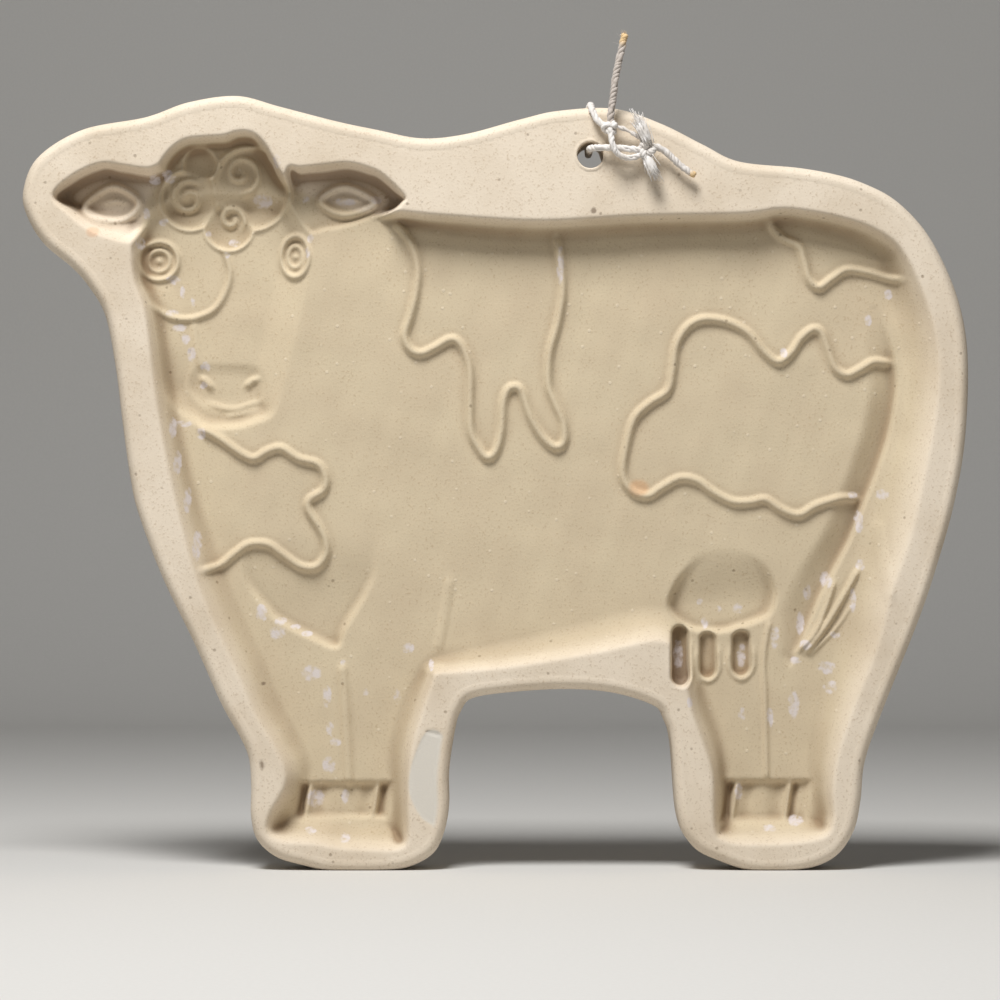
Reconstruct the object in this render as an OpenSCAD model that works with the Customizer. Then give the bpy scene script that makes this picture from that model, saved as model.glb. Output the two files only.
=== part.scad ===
// Cow-shaped cookie mould: a stoneware slab with the animal pressed into its face, and a tied cotton string.
// It stands upright on its two hooves. X runs from head to rump, Z is up, and the hollow face looks along -Y.

/* [Slab] */
// Width from the ear's edge to the rump, in mm
mould_w = 223; // [190:1:260]
// Height from the soles to the top of the head, in mm
mould_h = 182.5; // [155:0.5:215]
// Thickness of the fired slab, in mm
mould_t = 17; // [15:0.5:24]
// Round-over of the outer edge at the hollow face, in mm
front_round = 3; // [1.5:0.25:3.5]
// Round-over of the outer edge at the flat back, in mm
back_round = 1.5; // [0.5:0.25:2.5]

/* [Hollow] */
// Depth of the body's floor below the face, in mm
floor_depth = 7.5; // [6:0.25:9]
// How much deeper than the body's floor the cow's face goes, in mm
face_extra = 2.4; // [1:0.2:3]
// How much deeper than the body's floor the ears go, in mm
ear_extra = 1.2; // [0.6:0.2:2.4]
// How much deeper than the body's floor the curls on the forehead go, in mm
curl_extra = 3.2; // [1.5:0.2:3.6]
// How much deeper than the body's floor the udder goes, in mm
udder_extra = 2.4; // [1:0.2:3.4]
// Radius of each teat's groove, in mm
teat_r = 2.7; // [2:0.1:3]
// How much deeper than the body's floor the teats go, in mm
teat_extra = 1.4; // [0.6:0.2:2.4]
// How much deeper than the body's floor the tail goes, in mm
tail_extra = 2; // [1:0.2:3]
// How much deeper than the body's floor the hooves go, in mm
hoof_extra = 1.6; // [0.8:0.2:2.4]
// How much deeper than the body's floor the point of the chest goes, in mm
chest_extra = 1.5; // [0.8:0.1:2.5]
// Width of the round edge where the rim drops into the hollow, in mm
lip_round = 0.7; // [0.3:0.1:1.2]

/* [Spots] */
// Width of the raised bead that draws each spot, in mm
bead_w = 2.3; // [1.6:0.1:2.8]
// Height of that bead above the floor, in mm
bead_h = 1.3; // [0.8:0.1:1.6]

/* [Hanging] */
// Diameter of the hanging hole, in mm
hole_d = 6.2; // [5:0.1:8]
// Diameter of the cotton string, in mm
string_d = 1.7; // [1.2:0.1:2]
// Diameter of the knot at the top edge, in mm
top_knot_d = 3.6; // [2.8:0.1:4.2]
// Diameter of the knot beside the hole, in mm
side_knot_d = 4.4; // [3.4:0.1:5]

/* [Hidden] */

clay = "#c9b597";
cotton = "#e9e4d8";

// The points below are those of a slab 223 wide and 182.5 high, and stretch with the real one
sx = mould_w / 223;
sz = mould_h / 182.5;
face_z = mould_t / 2;
floor_z = face_z - floor_depth;
clear = 0.3;
sink = 0.4;

// Outer edge of the slab, clockwise from the ear
outline = [
    [-111.5, 160], [-108, 168], [-97.5, 174.5], [-82.5, 177.5], [-72.5, 181], [-61, 182.5],
    [-51, 180], [-37.5, 176.5], [-28, 174.5], [-17.5, 172.5], [-7, 173.5], [6, 177], [15, 179],
    [28, 179.5], [39, 176], [49, 171], [57.5, 167], [71.5, 165.5], [80, 164], [86.5, 162],
    [93.5, 158.5], [99.5, 153], [104, 146.5], [108.5, 136.5], [111, 126], [111.5, 114],
    [110.5, 99], [108, 85.5], [104.5, 73], [100, 59.5], [91, 37], [87, 25.5], [86, 16.5],
    [84.5, 9.5], [81, 4], [76, 1], [69, -0.5], [61, -0.5], [53, 2], [46.5, 5.5], [43, 12.5],
    [41.5, 29.5], [40, 35], [37.5, 38.5], [28.5, 41.5], [18, 42.5], [6, 42], [-5, 40.5],
    [-8, 37.5], [-9.5, 33], [-11, 23], [-11, 15], [-12, 9], [-14.5, 4], [-20, 0.8], [-27, -0.5],
    [-38, -0.5], [-45, 1], [-51.5, 3], [-56, 7], [-57.5, 12.5], [-57.5, 19.5], [-58, 26],
    [-60, 31], [-64.5, 39], [-71, 53.5], [-78.5, 69], [-84, 83.5], [-86, 92], [-88, 106],
    [-89.5, 118], [-92, 130.5], [-96, 137.5], [-100, 142], [-106.5, 147.5], [-110.5, 154]
];

// Edge of the body's hollow, clockwise from the forehead, with the width of the wall at each point
body_edge = [
    [-52.5, 169, 3], [-48.5, 164, 3], [-36, 159, 3], [-23, 156, 3], [-9.5, 154, 4.5],
    [11, 153, 5], [34, 154, 5], [58, 154.5, 5], [67, 155.5, 4.5], [81.5, 153.5, 4.5],
    [88, 151.5, 5], [94, 148, 5.5], [97.5, 143.5, 6], [101, 136, 7], [104.5, 120, 8],
    [104, 108, 9], [102, 96.5, 10], [98.5, 80, 11], [93.5, 65, 9.5], [90, 52, 8], [85, 39.5, 7],
    [81, 28, 6], [79.5, 19.5, 5], [79.5, 11, 3], [77, 7.5, 2.5], [70.5, 6.5, 4], [60, 6, 4],
    [53.5, 7, 2], [51.5, 10, 2.5], [51, 22, 3.5], [47.5, 33, 4.5], [44.5, 43, 4], [41, 52, 4],
    [38, 53.8, 6], [25.5, 51.5, 8], [1.5, 47.5, 8], [-11, 46, 7], [-14.5, 43.5, 4],
    [-17, 37, 4], [-20, 27, 3.5], [-20.3, 16, 2.5], [-20.8, 7.5, 2], [-24, 5, 3], [-36, 5.2, 4],
    [-48, 7, 3], [-52, 9.5, 2.5], [-52, 15, 3], [-50, 22, 4], [-52, 29, 5], [-60, 44.5, 6],
    [-65, 55, 6], [-70.5, 68, 5.5], [-75.5, 86, 4], [-79, 104.5, 4], [-80.5, 115, 4],
    [-82.5, 131, 4], [-85, 139, 4], [-86, 147, 3], [-84, 156, 3], [-78.5, 166, 3],
    [-74, 171.5, 2.5], [-68, 172.5, 2.5], [-64, 172.5, 2.5], [-59, 173.5, 2.5], [-55, 172, 2.5]
];

// Edge of the cow's face, clockwise from the forehead, with the width of its wall
face_edge = [
    [-60, 160, 4], [-50, 158, 4], [-43.5, 150, 4], [-44, 140, 5], [-47, 126, 6], [-50.5, 112, 6],
    [-53, 107, 4], [-61.5, 104.5, 5], [-67.5, 104.5, 5], [-76, 108, 4], [-78.5, 112, 4],
    [-80, 124, 5], [-82.5, 133, 5], [-84, 140, 4], [-83, 149, 4], [-76, 158, 4]
];

// Edges of the ears
left_ear = [[-104.8, 159], [-99, 163.5], [-94, 166], [-84, 165], [-76, 163], [-74, 154],
    [-80, 149], [-86, 148], [-92, 148.5], [-96, 149.8], [-102, 153.5]];
right_ear = [[-22, 157], [-26.5, 153.5], [-34, 149], [-38, 147.5], [-46, 147.5], [-52, 156],
    [-50, 164.5], [-42, 165], [-34.5, 166.5], [-28, 164]];

// Edge of the tail and its tuft, clockwise from the root
tail_edge = [
    [90, 134], [95, 131], [98, 124], [99.5, 115], [99, 105], [96, 93], [91, 81], [88, 72],
    [87, 65], [84, 57], [78, 51], [73, 48], [71.5, 51], [76, 63], [79.5, 70], [84, 79],
    [89, 88], [93, 98], [95.5, 108], [95.5, 116], [93.5, 125]
];

// Middle lines of the beads that draw the spots
neck_bead = [[-69, 103.5], [-65, 101.5], [-61, 99], [-58, 97.5], [-55, 98], [-51.5, 99],
    [-48, 98], [-45, 96], [-42, 95], [-40.5, 93], [-41, 90], [-43.5, 87.5], [-43.5, 85],
    [-41, 81], [-40.5, 77], [-41, 72.5], [-44, 70.5], [-47, 72], [-51.5, 75], [-55.5, 76.5],
    [-59, 76], [-63, 73], [-68, 70.5]];
middle_bead = [[-24.5, 153.5], [-21.5, 150.5], [-19.5, 146.5], [-18.5, 141.5], [-19, 136],
    [-20.5, 130.5], [-21.5, 126], [-20.5, 123], [-17.5, 122], [-14.5, 123], [-11, 125],
    [-9, 124.5], [-7, 121.5], [-6, 117], [-6, 110.5], [-6, 103.5], [-4, 99.5], [-2, 97],
    [0, 98.5], [1.5, 103.5], [2, 110], [3, 113], [4.5, 114], [6.5, 113], [8.5, 107], [11, 102],
    [14, 99.5], [16, 101], [16, 105.5], [14.5, 110], [12.5, 114.5], [12.5, 122], [14.5, 129],
    [16, 136], [15.5, 142], [14.5, 149]];
right_bead = [[94, 119.5], [90, 120], [86.5, 118], [83.5, 117], [80.5, 118.5], [79, 123],
    [77.5, 127], [75.5, 127.5], [72.5, 125.5], [70, 122], [67, 120], [64, 122], [60, 127],
    [54.5, 129.5], [49, 130], [45.5, 128], [43, 124], [42, 117.5], [40.5, 113], [36.5, 110],
    [33, 106.5], [31, 100.5], [30, 93.5], [32.5, 89.5], [36, 88], [39.5, 90], [44, 92],
    [48, 91.5], [51.5, 89], [56.5, 86.5], [60.5, 86.5], [64, 87], [68, 85], [72, 83.5],
    [76, 86], [81.5, 87.5], [85, 87.5]];
rump_bead = [[64.5, 153], [68, 149.5], [72, 147], [73, 143.5], [74.5, 139.5], [76.5, 137.5],
    [80, 139.5], [83.5, 141.5], [88, 141], [92, 140], [96, 139]];
left_ear_bead = [[-97, 158], [-93, 161.5], [-87.5, 161.5], [-84.5, 158.5], [-87.5, 154.5],
    [-92, 154], [-97, 158]];
right_ear_bead = [[-41.5, 158.5], [-38, 162], [-33, 162], [-29, 158], [-33, 155], [-38, 154.5],
    [-41.5, 158.5]];
eye_patch_bead = [[-68.5, 149.5], [-65, 146.5], [-63.5, 142], [-64, 137], [-67.5, 132.5],
    [-73, 131], [-78, 131.5], [-81, 134]];

// Round hollows of the curls: centre, radius across and share of the curls' depth
curls = [[-58, 161, 9.4, 1], [-73, 158.5, 6, 0.8], [-70, 167.5, 4, 0.7], [-63, 154, 5.6, 0.9]];
// Centres of the eyes, with their outer radii
eyes = [[-80.3, 144.5, 4.6], [-47.3, 145, 4]];
udder_at = [53.3, 63.5];
udder_size = [24, 20];
teats = [[43.5, 55.5, 45.2], [50, 54.5, 46.3], [58, 55, 47.5]];
// Each hoof: centre, width, height and the places of its clefts
hooves = [[-35.4, 16, 23, 8, [-45, -34.7, -28]], [62.2, 16, 18, 8.6, [55.8, 63.8, 70.8]]];
tuft_hairs = [[86, 73, 82.5, 61], [84, 71.5, 78, 56.5], [81.5, 69, 75, 53]];
hole_x = 22.4;
hole_y = 168.3;

function stretch(p) = [p.x * sx, p.y * sz, len(p) > 2 ? p.z : 0];
function curve(a, b, c, d, t) =
    0.5 * (2 * b + (c - a) * t + (2 * a - 5 * b + 4 * c - d) * t * t
    + (3 * b - a - 3 * c + d) * t * t * t);
// A smooth closed line through the points, with so many steps from each to the next
function loop(p, steps) =
    let (n = len(p))
    [for (i = [0:n - 1]) for (k = [0:steps - 1])
        curve(p[(i + n - 1) % n], p[i], p[(i + 1) % n], p[(i + 2) % n], k / steps)];
// The same for an open line
function path(p, steps) =
    let (n = len(p))
    concat(
        [for (i = [0:n - 2]) for (k = [0:steps - 1])
            curve(p[max(i - 1, 0)], p[i], p[i + 1], p[min(i + 2, n - 1)], k / steps)],
        [p[n - 1]]);
// The loop drawn in by an inset at one height; wide adds a share of each point's own wall width
function ring(l, inset, wide, z) =
    let (n = len(l))
    [for (i = [0:n - 1])
        let (t = l[(i + 1) % n] - l[(i + n - 1) % n], s = (inset + wide * l[i].z) / norm([t.x, t.y]))
        [l[i].x + t.y * s, l[i].y - t.x * s, z]];

module loft(rings) {
    m = len(rings);
    n = len(rings[0]);
    polyhedron(
        points = [for (r = rings) each r],
        faces = concat(
            [[for (i = [0:n - 1]) i]],
            [[for (i = [n - 1:-1:0]) (m - 1) * n + i]],
            [for (r = [0:m - 2]) for (i = [0:n - 1])
                [r * n + i, (r + 1) * n + i, (r + 1) * n + (i + 1) % n]],
            [for (r = [0:m - 2]) for (i = [0:n - 1])
                [r * n + i, (r + 1) * n + (i + 1) % n, r * n + (i + 1) % n]]));
}

// A tube along a line of points, its cross-section carried along without twist
function unit(v) = v / norm(v);
function tangent(p, i) = unit(p[min(i + 1, len(p) - 1)] - p[max(i - 1, 0)]);
function across(v, t) = unit(v - (v * t) * t);
function normals(p, i, v) =
    i == len(p) ? [] : let (w = across(v, tangent(p, i))) concat([w], normals(p, i + 1, w));
module tube(p, across_w, across_h, sides, start) {
    ns = normals(p, 0, start);
    loft([for (i = [0:len(p) - 1])
        let (b = cross(tangent(p, i), ns[i]))
        [for (k = [0:sides - 1])
            let (a = 360 * (k + 0.5) / sides)
            p[i] + across_h * cos(a) * ns[i] + across_w * sin(a) * b]]);
}

module slab() {
    l = loop([for (p = outline) stretch(p)], 2);
    f = front_round;
    b = back_round;
    intersection() {
        loft(concat(
            [for (a = [90:-30:0]) ring(l, f * (1 - cos(a)), 0, face_z - f * (1 - sin(a)))],
            [for (a = [0:45:90]) ring(l, b * (1 - cos(a)), 0, -face_z + b * (1 - sin(a)))]));
        translate([-mould_w, 0, -mould_t])
            cube([2 * mould_w, 2 * mould_h, 2 * mould_t]);
    }
}

// A hollow with a rounded lip and a wall that runs out softly into its floor
module hollow(edge, depth, steps) {
    l = loop([for (p = edge) stretch(p)], steps);
    loft([
        ring(l, -lip_round, 0, face_z + 1),
        ring(l, -lip_round, 0, face_z),
        ring(l, -0.2 * lip_round, 0, face_z - 0.3 * lip_round),
        ring(l, 0.2 * lip_round, 0, face_z - 1.2 * lip_round),
        ring(l, 0, 0.42, face_z - 0.62 * depth),
        ring(l, 0, 0.68, face_z - 0.88 * depth),
        ring(l, 0, 1, face_z - depth)
    ]);
}

// A shallow dish whose edge shrinks towards its middle as it goes down
module dish(edge, middle, z, steps) {
    l = loop([for (p = edge) stretch([p.x, p.y, 0])], steps);
    c = stretch(middle);
    loft([for (s = [[1.04, face_z + 1], [1.03, face_z], [0.98, face_z - 0.8], [0.9, z + 1.6], [0.76, z + 0.4], [0.6, z]])
        [for (p = l) [c.x + (p.x - c.x) * s[0], c.y + (p.y - c.y) * s[0], s[1]]]]);
}

module face_hollow() {
    l = loop([for (p = face_edge) stretch(p)], 2);
    loft([
        ring(l, 0, -0.1, floor_z + 1.5),
        ring(l, 0, 0, floor_z + 0.4),
        ring(l, 0, 0.45, floor_z - 0.6 * face_extra),
        ring(l, 0, 1, floor_z - face_extra)
    ]);
}

module tail_hollow() {
    l = loop([for (p = tail_edge) stretch(p)], 2);
    loft([
        ring(l, 0, 0, floor_z + 3),
        ring(l, 0, 0, floor_z),
        ring(l, 0.7, 0, floor_z - tail_extra)
    ]);
}

module bowl(at, size, extra) {
    lift = 2;
    c = stretch(at);
    translate([c.x, c.y, floor_z + lift])
        scale([size.x / 2, size.y / 2, lift + extra])
            sphere(r = 1, $fn = 26);
}

module groove(at, r, depth_z) {
    a = stretch([at.x, at.y]);
    b = stretch([at.x, at.z]);
    hull()
        for (q = [a, b])
            translate([q.x, q.y, depth_z + r]) {
                sphere(r = r, $fn = 14);
                cylinder(r = r, h = floor_depth, $fn = 14);
            }
}

// The hollow above the point of the chest, deep at the point and running out upwards
module chest_hollow() {
    r = 1.2;
    high = [[-47, 68, 0.05], [-34, 73, 0.05], [-52.5, 60.5, 0.4]];
    low = [[-44, 54.5, 1], [-39, 52, 1], [-37, 53, 1], [-33, 60, 0.9], [-28.5, 69, 0.3]];
    hull()
        for (q = concat(high, low))
            translate([q.x * sx, q.y * sz, floor_z - q.z * chest_extra + r])
                sphere(r = r, $fn = 12);
}

module hoof_hollow(h) {
    r = 1.2;
    c = stretch([h[0], h[1]]);
    hull()
        for (x = [-1, 1], y = [-1, 1])
            translate([c.x + x * (h[2] / 2 - r), c.y + y * (h[3] / 2 - r), floor_z - hoof_extra + r]) {
                sphere(r = r, $fn = 12);
                cylinder(r = r, h = hoof_extra + 2, $fn = 12);
            }
}

// The narrow bar that parts a hoof
module cleft(x, h) {
    c = stretch([x, h[1]]);
    r = 0.7;
    hull()
        for (y = [-0.5, 0.5])
            translate([c.x, c.y + y * (h[3] - 1), floor_z - hoof_extra + 0.3])
                sphere(r = r, $fn = 10);
}

module bead(line, z, w, h) {
    tube([for (p = line) [p.x * sx, p.y * sz, z - sink]], w / 2, h + sink, 6, [0, 0, 1]);
}

module eye(e) {
    c = stretch([e.x, e.y]);
    z = floor_z - face_extra;
    translate([c.x, c.y, z - sink]) {
        rotate_extrude($fn = 24)
            polygon([[e.z - 1, 0], [e.z - 0.8, sink + 1.4], [e.z - 0.2, sink + 1.4], [e.z + 0.4, 0]]);
        rotate_extrude($fn = 20)
            polygon([[e.z - 2.6, 0], [e.z - 2.2, sink + 1], [e.z - 1.8, sink + 1], [e.z - 1.5, 0]]);
        cylinder(r1 = 1.1, r2 = 0.6, h = sink + 1.1, $fn = 12);
    }
}

module hair(h) {
    hull()
        for (p = [[h[0], h[1]], [h[2], h[3]]])
            translate([p.x * sx, p.y * sz, floor_z - tail_extra])
                sphere(r = 0.55, $fn = 8);
}

module face_lines() {
    z = floor_z - face_extra;
    bead([[-68.5, 117.5], [-62.5, 119], [-56.5, 118.5]], z, 1.6, 0.7);
    bead([[-69.5, 109], [-62.5, 107.8], [-56.5, 110]], z, 1.4, 0.9);
    for (x = [-69, -58])
        translate([x * sx, 114.5 * sz, z])
            scale([1.3, 0.9, 0.8])
                sphere(r = 1, $fn = 10);
}

module mould_body() {
    color(clay)
        rotate([90, 0, 0])
            union() {
                difference() {
                    slab();
                    hollow(body_edge, floor_depth, 2);
                    face_hollow();
                    dish(left_ear, [-90, 157], floor_z - ear_extra, 2);
                    dish(right_ear, [-37, 157], floor_z - ear_extra, 2);
                    for (c = curls)
                        bowl([c[0], c[1]], 2 * [c[2], c[2]], curl_extra * c[3]);
                    bowl(udder_at, udder_size, udder_extra);
                    for (t = teats)
                        groove(t, teat_r, floor_z - teat_extra);
                    tail_hollow();
                    chest_hollow();
                    for (h = hooves)
                        hoof_hollow(h);
                    translate([hole_x * sx, hole_y * sz, -mould_t])
                        cylinder(d = hole_d, h = 2 * mould_t, $fn = 32);
                }
                for (line = [neck_bead, middle_bead, right_bead, rump_bead])
                    bead(line, floor_z, bead_w, bead_h);
                for (line = [left_ear_bead, right_ear_bead])
                    bead(line, floor_z - ear_extra, bead_w, bead_h);
                bead(eye_patch_bead, floor_z - face_extra, bead_w, 0.8 * bead_h);
                for (e = eyes)
                    eye(e);
                face_lines();
                for (h = hooves, x = h[4])
                    cleft(x, h);
                for (h = tuft_hairs)
                    hair(h);
            }
}

// The string: one length of cotton, tied beside the hole and again at the top edge
face_y = -face_z;
back_y = face_z;
lay = string_d / 2 + clear;
hx = hole_x * sx;
hz = hole_y * sz;
knot_top_at = [26.9 * sx, face_y - top_knot_d / 2 - clear, 174.4 * sz];
knot_side_at = [35.6 * sx, face_y - side_knot_d / 2 - clear, 169 * sz];

module mould_string(p) {
    color(cotton)
        tube(p, string_d / 2, string_d / 2, 8, [0.1, 0.3, 1]);
}

module string_loop() {
    mould_string([
        [33, face_y - 2.2, 169.2], [29.5, face_y - 1.9, 169.7], [26, face_y - 1.6, 170.2],
        [23.4, face_y - 0.8, 169.9], [22.3, face_y + 1.5, 169.6], [22.2, 0, 169.4],
        [22.2, back_y - 1.5, 169.6], [22.2, back_y + 0.8, 170.6], [22.1, back_y + lay, 173],
        [22, back_y + lay, 177], [22, back_y + 0.5, 179.9], [22.1, back_y - 2, 180.9],
        [22.3, 0, 180.9], [22.7, face_y + 3, 180.9], [23.1, face_y + 0.4, 180],
        [23.8, face_y - 1, 177.8], [24.6, face_y - 1.4, 176.2]
    ]);
}

module string_long_end() {
    mould_string([
        [27.3, face_y - 2.3, 176.7], [27.5, face_y - 2.5, 180.5], [28.3, face_y - 2.8, 186.4],
        [29.3, face_y - 3, 191.3], [30.4, face_y - 3.2, 196.5]
    ]);
}

module string_link() {
    mould_string([
        [27.2, face_y - 3.2, 172.4], [27.5, face_y - 4, 170.4], [28, face_y - 3.6, 168.3],
        [30, face_y - 2.6, 167.2], [32.8, face_y - 2.2, 167.6]
    ]);
}

module string_tie() {
    mould_string([
        [29.2, face_y - 2, 174.4], [31.2, face_y - 1.8, 173.7], [33.3, face_y - 1.6, 172.5]
    ]);
}

module string_short_end() {
    mould_string([
        [38.2, face_y - 2.2, 169.8], [39.8, face_y - 2, 168.9], [41.5, face_y - 1.9, 167.4],
        [43.8, face_y - 1.8, 165.3], [46.9, face_y - 1.8, 163.1]
    ]);
}

module knot_top() {
    color(cotton)
        translate(knot_top_at)
            sphere(d = top_knot_d, $fn = 24);
}

module knot_side() {
    color(cotton)
        translate(knot_side_at)
            sphere(d = side_knot_d, $fn = 24);
}

// A frayed end: a tuft that swells from the knot
module fray(from, to, thick) {
    d = to - from;
    color(cotton)
        tube([for (t = [0, 0.3, 0.7, 1]) from + t * d], thick / 2, thick / 2.4, 8, [0, 1, 0.1]);
}

module fray_up() {
    fray([35.2, face_y - 3.9, 171.3], [34, face_y - 4, 175.6], 2.2);
}

module fray_down() {
    fray([36.4, face_y - 2.6, 166.4], [37, face_y - 2.8, 163], 2.2);
}

mould_body();
string_loop();
string_long_end();
string_link();
string_tie();
string_short_end();
knot_top();
knot_side();
fray_up();
fray_down();
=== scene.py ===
import math

import bpy
import numpy as np
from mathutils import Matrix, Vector
from mathutils.geometry import delaunay_2d_cdt
from mathutils.kdtree import KDTree


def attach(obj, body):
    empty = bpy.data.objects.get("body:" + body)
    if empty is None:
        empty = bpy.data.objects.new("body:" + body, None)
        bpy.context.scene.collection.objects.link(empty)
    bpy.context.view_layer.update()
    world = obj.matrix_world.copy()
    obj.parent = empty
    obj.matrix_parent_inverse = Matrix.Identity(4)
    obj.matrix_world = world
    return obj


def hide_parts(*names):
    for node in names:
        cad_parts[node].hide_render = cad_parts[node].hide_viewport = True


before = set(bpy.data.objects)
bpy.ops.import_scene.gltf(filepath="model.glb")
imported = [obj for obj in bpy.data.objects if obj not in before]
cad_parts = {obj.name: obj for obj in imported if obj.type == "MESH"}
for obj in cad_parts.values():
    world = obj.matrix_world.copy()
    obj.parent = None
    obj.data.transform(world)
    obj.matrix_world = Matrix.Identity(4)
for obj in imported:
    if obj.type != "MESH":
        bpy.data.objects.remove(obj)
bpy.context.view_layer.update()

# Lengths in this file are in millimetres, as in part.scad, and MM turns them to metres.
MM = 0.001
FACE_Y = -8.5
BACK_Y = 8.5
FRONT_ROUND = 3.0
BACK_ROUND = 1.5
HOLE_AT = (22.4, 168.3)
HOLE_R = 3.1
STRING_D = 1.7


# Camera, floor and light

def aim(thing, place, target):
    """Puts a camera or lamp at a place and turns it to a target, both in millimetres."""
    thing.location = Vector(place) * MM
    thing.rotation_euler = (Vector(target) - Vector(place)).to_track_quat("-Z", "Y").to_euler()


def place_camera():
    """The photograph's view: face on, a degree below the middle of the mould."""
    place, target, seen_width = (1.1, -908, 71), (1.1, -8.5, 87), 235
    data = bpy.data.cameras.new("camera")
    data.sensor_width = 36
    data.lens = 36 * (Vector(target) - Vector(place)).length / seen_width
    camera = bpy.data.objects.new("camera", data)
    bpy.context.scene.collection.objects.link(camera)
    aim(camera, place, target)
    bpy.context.scene.camera = camera


def place_lamp(name, place, size, watts):
    """A soft square lamp that looks at the middle of the mould."""
    data = bpy.data.lights.new(name, "AREA")
    data.size = size * MM
    data.energy = watts
    lamp = bpy.data.objects.new(name, data)
    bpy.context.scene.collection.objects.link(lamp)
    aim(lamp, place, (0, 0, 100))


# Nodes and colours

def tint(code):
    """An sRGB hex colour as linear red, green, blue and alpha."""
    parts = [int(code[i:i + 2], 16) / 255 for i in (1, 3, 5)]
    return (*[p / 12.92 if p <= 0.04045 else ((p + 0.055) / 1.055) ** 2.4 for p in parts], 1)


def add(tree, kind, inputs=None, **settings):
    """Adds a node with its settings; each input is a value or the socket that drives it."""
    node = tree.nodes.new("ShaderNode" + kind)
    for name, value in settings.items():
        setattr(node, name, value)
    for key, value in (inputs or {}).items():
        if isinstance(value, bpy.types.NodeSocket):
            tree.links.new(value, node.inputs[key])
        else:
            node.inputs[key].default_value = value
    return node


def new_material(name):
    """An empty material with its tree and shader."""
    material = bpy.data.materials.new(name)
    material.use_nodes = True
    tree = material.node_tree
    return material, tree, tree.nodes["Principled BSDF"]


# Lines and tubes

def smooth_line(points, closed=False, step=0.3):
    """A smooth line through the points, in rows about a step apart. Values after the place ride along."""
    p = np.array(points, float)
    n = len(p)
    rows = []
    for i in range(n if closed else n - 1):
        around = [i - 1, i, i + 1, i + 2]
        a, b, c, d = p[[k % n if closed else min(max(k, 0), n - 1) for k in around]]
        count = max(2, int(np.linalg.norm((c - b)[:2]) / step))
        t = (np.arange(count) / count)[:, None]
        rows.append(0.5 * (2 * b + (c - a) * t + (2 * a - 5 * b + 4 * c - d) * t ** 2
                           + (3 * b - a - 3 * c + d) * t ** 3))
    if not closed:
        rows.append(p[-1:])
    return np.concatenate(rows)


def smooth_route(points, step=0.3):
    """A smooth line through points in space, its rows a step apart."""
    line = smooth_line([[*p[:2], p[2]] for p in points], step=step / 4)
    along = np.concatenate([[0], np.cumsum(np.linalg.norm(np.diff(line, axis=0), axis=1))])
    at = np.linspace(0, along[-1], int(along[-1] / step) + 2)
    return np.stack([np.interp(at, along, line[:, k]) for k in range(3)], 1)


def carried_frames(line):
    """Two directions across the line at each row, carried along it without twist."""
    ahead = np.gradient(line, axis=0)
    ahead /= np.linalg.norm(ahead, axis=1, keepdims=True)
    side = np.cross(ahead[0], [0.3, 0.2, 1])
    first, second = [], []
    for t in ahead:
        side = side - (side @ t) * t
        side = side / np.linalg.norm(side)
        first.append(side)
        second.append(np.cross(t, side))
    return np.array(first), np.array(second)


class Shape:
    """Points, faces and named values of a mesh in the making."""

    def __init__(self):
        self.points, self.faces, self.values = [], [], {}

    def add_tube(self, line, radii, sides=8, **values):
        """A closed tube along a line, whose radius may change, with values for each of its rows."""
        first, second = carried_frames(line)
        turn = np.arange(sides) * 2 * math.pi / sides
        radii = np.broadcast_to(radii, len(line))[:, None, None]
        ring = (np.cos(turn)[None, :, None] * first[:, None]
                + np.sin(turn)[None, :, None] * second[:, None])
        start, rows = len(self.points), len(line)
        self.points.extend((line[:, None] + radii * ring).reshape(-1, 3))
        self.faces.append([start + k for k in range(sides)][::-1])
        self.faces.append([start + (rows - 1) * sides + k for k in range(sides)])
        for r in range(rows - 1):
            a, b = start + r * sides, start + (r + 1) * sides
            for k in range(sides):
                m = (k + 1) % sides
                self.faces.append([a + k, a + m, b + m, b + k])
        for name, value in values.items():
            column = np.repeat(np.broadcast_to(value, rows), sides)
            self.values.setdefault(name, []).extend(column)

    def build(self, name, material, replaced=()):
        """The finished piece in the scene, on the body, with its finish."""
        mesh = bpy.data.meshes.new(name)
        mesh.from_pydata([tuple(p) for p in np.array(self.points) * MM], [], self.faces)
        mesh.polygons.foreach_set("use_smooth", [True] * len(mesh.polygons))
        for key, value in self.values.items():
            layer = mesh.attributes.new(key, "FLOAT", "POINT")
            layer.data.foreach_set("value", np.array(value, np.float32))
        mesh.materials.append(material)
        mesh.update()
        piece = bpy.data.objects.new(name, mesh)
        bpy.context.scene.collection.objects.link(piece)
        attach(piece, "root")
        if replaced:
            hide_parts(*replaced)
        return piece


# The string: one length of twisted cotton, tied beside the hole and again at the top edge

LOOP_ROUTE = [
    (35.2, -10.9, 169.2), (33, -10.8, 169.3), (30.5, -10.6, 169.5), (28, -10.4, 169.7),
    (25.6, -10.3, 169.8), (23.9, -9.8, 169.8), (22.7, -8.6, 169.8), (22.2, -6.9, 169.8),
    (22.2, -4.5, 169.8), (22.2, -2, 169.8), (22.2, 0.6, 169.8), (22.2, 3.3, 169.8),
    (22.2, 6.1, 169.8), (22.2, 7.8, 170.3), (22.2, 9, 171.5), (22.2, 9.5, 173.2),
    (22.2, 9.5, 175.2), (22.2, 9.5, 177), (22.2, 9, 178.7), (22.2, 7.8, 179.9),
    (22.2, 6.1, 180.4), (22.2, 3.8, 180.4), (22.3, 1.5, 180.4), (22.4, -0.9, 180.4),
    (22.5, -3.3, 180.4), (22.5, -5.5, 180.3), (22.6, -7.4, 179.7), (22.9, -8.8, 178.4),
    (23.6, -9.5, 176.9), (24.7, -10, 175.6), (26.9, -10.6, 174.4)]
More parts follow.
